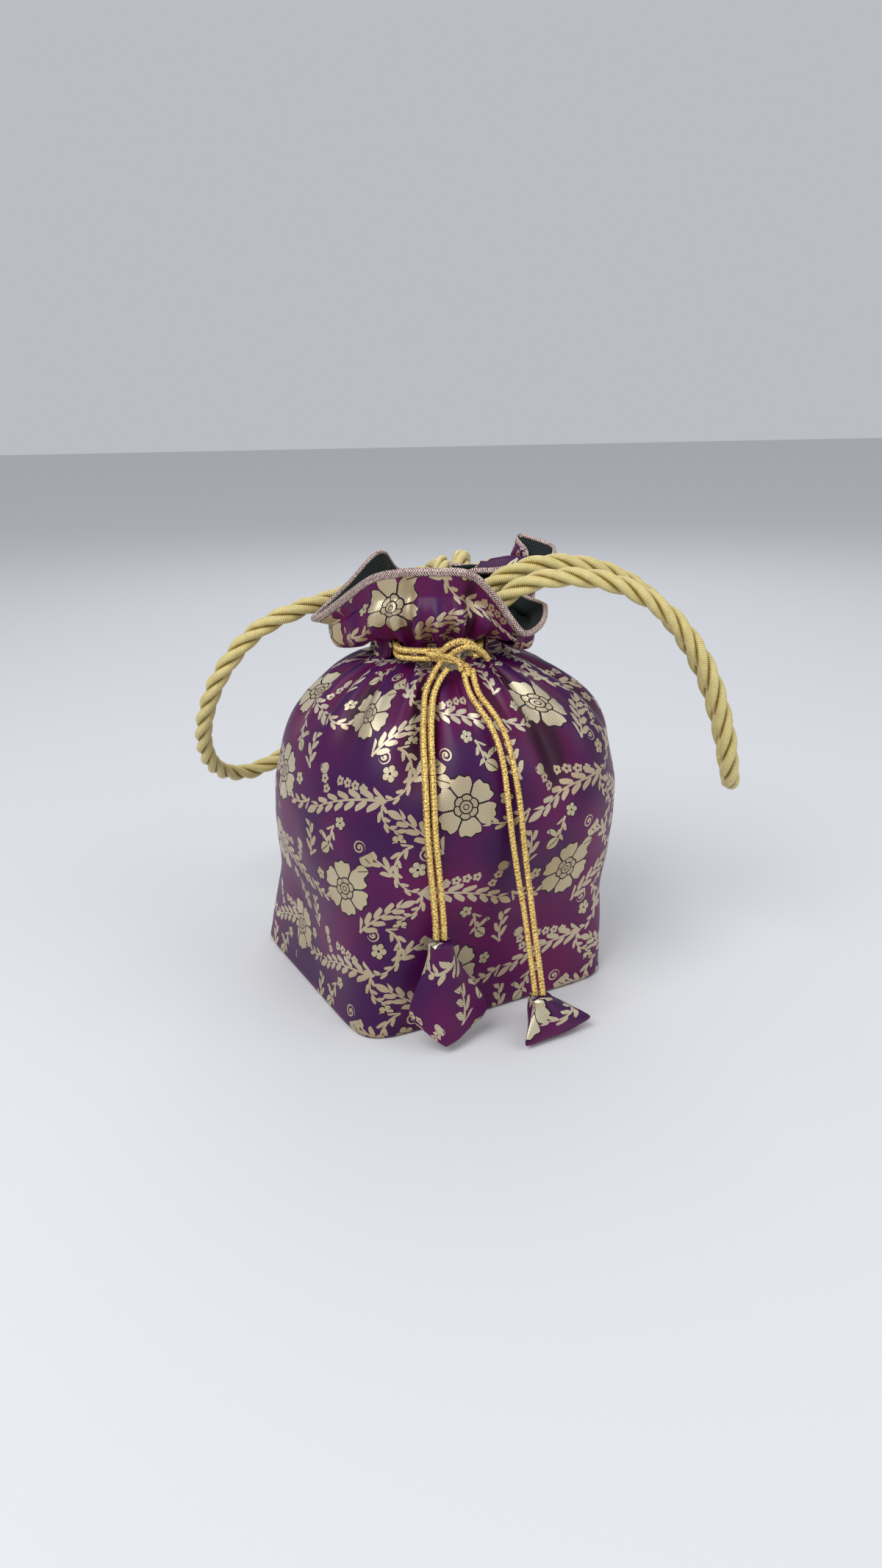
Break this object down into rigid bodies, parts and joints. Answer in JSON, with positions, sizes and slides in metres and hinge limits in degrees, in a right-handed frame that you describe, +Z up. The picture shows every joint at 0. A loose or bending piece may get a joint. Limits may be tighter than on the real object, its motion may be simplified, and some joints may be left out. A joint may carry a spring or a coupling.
{
  "type": "potli bag",
  "caption": "Brocade potli bag: square boxed base, gathered neck with flared ruffle, twisted rope handles and knotted drawstrings ending in tassels.",
  "frame": {"origin": "middle of the square base, on the surface that the bag stands on", "axes": "+Z up, -Y towards the front where the drawstrings are tied, +X to the right of someone who looks at the front"},
  "size_m": [0.2909, 0.2155, 0.222],
  "materials": {
    "brocade": "purple shot-silk brocade with gold zari flowers",
    "lining": "dark woven lining with a fine grid",
    "edging": "metallic zigzag braid",
    "drawstring": "knitted metallic gold cord",
    "rope": "twisted gold satin rope"
  },
  "bodies": {
    "root": {"brocade_shell": "brocade", "lining": "lining", "rim_edging": "edging", "drawstring_upper": "drawstring", "drawstring_lower": "drawstring", "drawstring_knot": "drawstring", "drawstring_tail_left_inner": "drawstring", "drawstring_tail_left_outer": "drawstring", "drawstring_tail_right_inner": "drawstring", "drawstring_tail_right_outer": "drawstring", "tassel_left": "brocade", "tassel_right": "brocade", "rope_handle_left": "rope", "rope_handle_right": "rope"}
  },
  "joints": []
}
